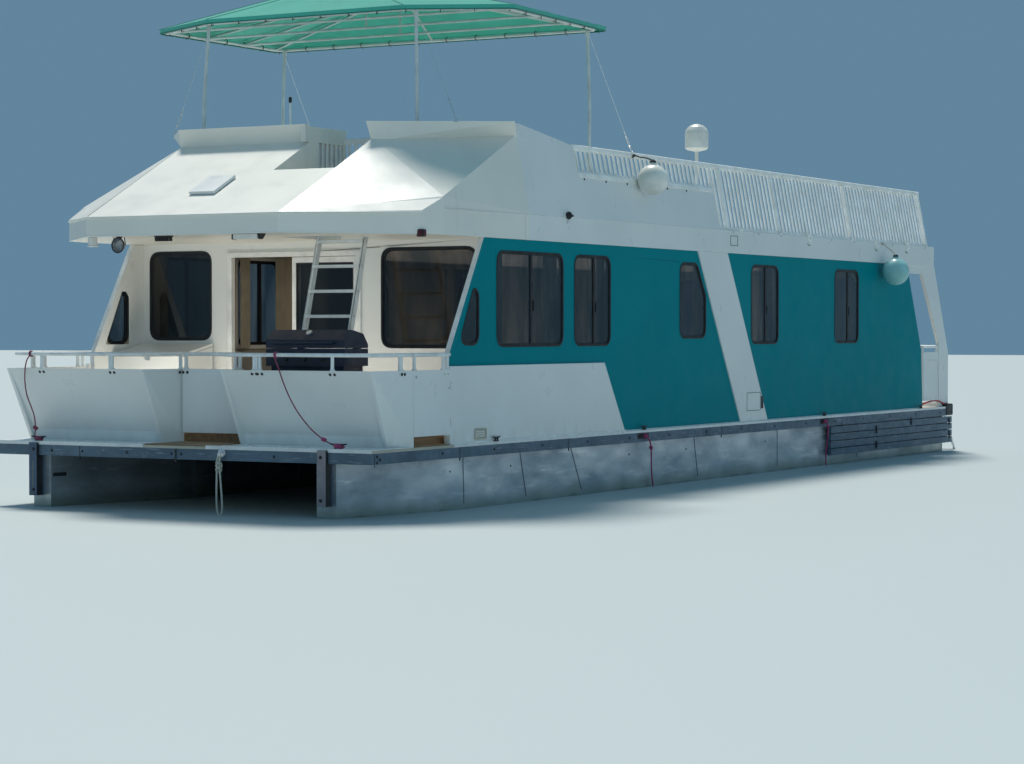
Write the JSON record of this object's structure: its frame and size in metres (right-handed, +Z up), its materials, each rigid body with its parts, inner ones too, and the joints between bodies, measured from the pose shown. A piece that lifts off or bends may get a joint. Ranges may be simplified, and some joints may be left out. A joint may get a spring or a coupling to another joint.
{
  "type": "twin-pontoon houseboat with flybridge",
  "caption": "Houseboat on two metal pontoons: hollow cabin with cut windows, covered bow deck, flybridge with canopy, railed roof, stern porch and steerable drives.",
  "frame": {"origin": "middle of the boat's box, at the bottom of the pontoons", "axes": "+X to port, +Y aft, +Z up; the bow points along -Y"},
  "size_m": [5.624, 17.8728, 6.53],
  "materials": {
    "white_gelcoat": "satin gelcoat, slightly weathered",
    "teal_panel": "gloss painted panel",
    "grey_beam": "scuffed grey paint",
    "aluminium": "weathered mill finish",
    "deck_floor": "non-slip deck coating",
    "mint_canvas": "woven canvas",
    "navy_steel": "satin enamel",
    "black_plastic": "satin",
    "maroon_rope": "laid rope",
    "pale_rope": "laid rope",
    "aqua_vinyl": "inflated vinyl"
  },
  "bodies": {
    "hull": {"pontoon_port": "aluminium", "pontoon_starboard": "aluminium", "engine_pod": "aluminium", "deck_frame": "grey_beam", "side_planking_port": "grey_beam", "side_planking_starboard": "grey_beam", "deck": "deck_floor", "bulwark_port": "white_gelcoat", "bulwark_starboard": "white_gelcoat", "cabin_front": "white_gelcoat", "porch_side_port": "white_gelcoat", "porch_side_starboard": "white_gelcoat", "cabin_aft": "white_gelcoat", "front_door_fixed": "white_gelcoat", "flybridge_front": "white_gelcoat", "roof_deck": "white_gelcoat", "flybridge_side_port": "white_gelcoat", "flybridge_side_starboard": "white_gelcoat", "roof_rail_port": "white_gelcoat", "roof_rail_starboard": "white_gelcoat", "canopy_frame": "white_gelcoat", "ladder": "white_gelcoat", "bow_locker": "white_gelcoat", "helm_console": "white_gelcoat", "antenna_dome": "white_gelcoat", "fender_fore_port": "white_gelcoat", "fender_fore_starboard": "white_gelcoat", "stern_rail": "white_gelcoat", "cabin_side_fore_port": "teal_panel", "cabin_side_fore_starboard": "teal_panel", "cabin_side_aft_port": "teal_panel", "cabin_side_aft_starboard": "teal_panel", "canopy_fabric": "mint_canvas", "grill": "navy_steel", "fender_aft_port": "aqua_vinyl", "fender_aft_starboard": "aqua_vinyl", "line_bow_port": "maroon_rope", "line_bow_starboard": "maroon_rope", "line_side_fore": "maroon_rope", "line_side_aft": "maroon_rope", "line_ring": "pale_rope"},
    "gate_bow": {"gate_bow": "white_gelcoat"},
    "gate_bow_side_port": {"gate_bow_side_port": "white_gelcoat"},
    "gate_bow_side_starboard": {"gate_bow_side_starboard": "white_gelcoat"},
    "front_door_slide": {"front_door_slide": "white_gelcoat"},
    "grill_lid": {"grill_lid": "black_plastic"},
    "bow_locker_lid": {"bow_locker_lid": "white_gelcoat"},
    "vent_lid": {"vent_lid": "grey_beam"},
    "aft_door": {"aft_door": "white_gelcoat"},
    "gate_stern_side_port": {"gate_stern_side_port": "white_gelcoat"},
    "gate_stern_side_starboard": {"gate_stern_side_starboard": "white_gelcoat"},
    "gate_stern": {"gate_stern": "white_gelcoat"},
    "swim_ladder": {"swim_ladder": "aluminium"},
    "helm_wheel": {"helm_wheel": "black_plastic"},
    "drive_gimbal_port": {"drive_gimbal_port": "black_plastic"},
    "drive_gimbal_starboard": {"drive_gimbal_starboard": "black_plastic"},
    "drive_leg_port": {"drive_leg_port": "black_plastic"},
    "drive_leg_starboard": {"drive_leg_starboard": "black_plastic"},
    "propeller_port": {"propeller_port": "aluminium"},
    "propeller_starboard": {"propeller_starboard": "aluminium"}
  },
  "joints": [
    {"name": "gate_bow_hinge", "type": "hinge", "parent": "hull", "child": "gate_bow", "pos_m": [-0.362, -8.221, 1.7], "axis": [0, 0, 1], "range_deg": [0, 95]},
    {"name": "gate_bow_side_port_hinge", "type": "hinge", "parent": "hull", "child": "gate_bow_side_port", "pos_m": [2.402, -7.358, 1.7], "axis": [0, 0, 1], "range_deg": [-90, 0]},
    {"name": "gate_bow_side_starboard_hinge", "type": "hinge", "parent": "hull", "child": "gate_bow_side_starboard", "pos_m": [-2.402, -7.358, 1.7], "axis": [0, 0, 1], "range_deg": [0, 90]},
    {"name": "front_door_travel", "type": "slide", "parent": "hull", "child": "front_door_slide", "axis": [-1, 0, 0], "range_m": [0, 0.845]},
    {"name": "grill_lid_hinge", "type": "hinge", "parent": "hull", "child": "grill_lid", "pos_m": [1.29, -7.925, 2.266], "axis": [-1, 0, 0], "range_deg": [0, 90]},
    {"name": "bow_locker_lid_hinge", "type": "hinge", "parent": "hull", "child": "bow_locker_lid", "pos_m": [-1.8, -6.435, 2.268], "axis": [-1, 0, 0], "range_deg": [0, 80]},
    {"name": "vent_lid_hinge", "type": "hinge", "parent": "hull", "child": "vent_lid", "pos_m": [-0.07, -7.9097, 4.0857], "axis": [-1, 0, 0], "range_deg": [0, 60]},
    {"name": "aft_door_hinge", "type": "hinge", "parent": "hull", "child": "aft_door", "pos_m": [-0.392, 6.215, 2.25], "axis": [0, 0, 1], "range_deg": [0, 100]},
    {"name": "gate_stern_side_port_hinge", "type": "hinge", "parent": "hull", "child": "gate_stern_side_port", "pos_m": [2.342, 6.991, 1.7], "axis": [0, 0, 1], "range_deg": [0, 90]},
    {"name": "gate_stern_side_starboard_hinge", "type": "hinge", "parent": "hull", "child": "gate_stern_side_starboard", "pos_m": [-2.342, 6.991, 1.7], "axis": [0, 0, 1], "range_deg": [-90, 0]},
    {"name": "gate_stern_hinge", "type": "hinge", "parent": "hull", "child": "gate_stern", "pos_m": [-0.42, 8.085, 1.75], "axis": [0, 0, 1], "range_deg": [-95, 0]},
    {"name": "swim_ladder_hinge", "type": "hinge", "parent": "hull", "child": "swim_ladder", "pos_m": [1.99, 8.225, 1.19], "axis": [1, 0, 0], "range_deg": [0, 138]},
    {"name": "drive_steer_port", "type": "hinge", "parent": "hull", "child": "drive_gimbal_port", "pos_m": [0.65, 8.285, 0.96], "axis": [0, 0, 1], "range_deg": [-28, 28]},
    {"name": "drive_steer_starboard", "type": "hinge", "parent": "hull", "child": "drive_gimbal_starboard", "pos_m": [-0.65, 8.285, 0.96], "axis": [0, 0, 1], "range_deg": [-28, 28]},
    {"name": "helm_wheel_turn", "type": "hinge", "parent": "hull", "child": "helm_wheel", "pos_m": [1.65, -5.78, 2.26], "axis": [0, 0.9063, 0.4226], "range_deg": [-570, 570]},
    {"name": "drive_tilt_port", "type": "hinge", "parent": "drive_gimbal_port", "child": "drive_leg_port", "pos_m": [0.65, 8.377, 0.975], "axis": [1, 0, 0], "range_deg": [0, 50]},
    {"name": "drive_tilt_starboard", "type": "hinge", "parent": "drive_gimbal_starboard", "child": "drive_leg_starboard", "pos_m": [-0.65, 8.377, 0.975], "axis": [1, 0, 0], "range_deg": [0, 50]},
    {"name": "propeller_spin_port", "type": "hinge", "parent": "drive_leg_port", "child": "propeller_port", "pos_m": [0.65, 8.865, 0.29], "axis": [0, 1, 0], "continuous": true},
    {"name": "propeller_spin_starboard", "type": "hinge", "parent": "drive_leg_starboard", "child": "propeller_starboard", "pos_m": [-0.65, 8.865, 0.29], "axis": [0, 1, 0], "continuous": true}
  ],
  "couplings": [
    {"joint": "drive_steer_starboard", "follows": "drive_steer_port", "ratio": 1},
    {"joint": "helm_wheel_turn", "follows": "drive_steer_port", "ratio": 20}
  ]
}
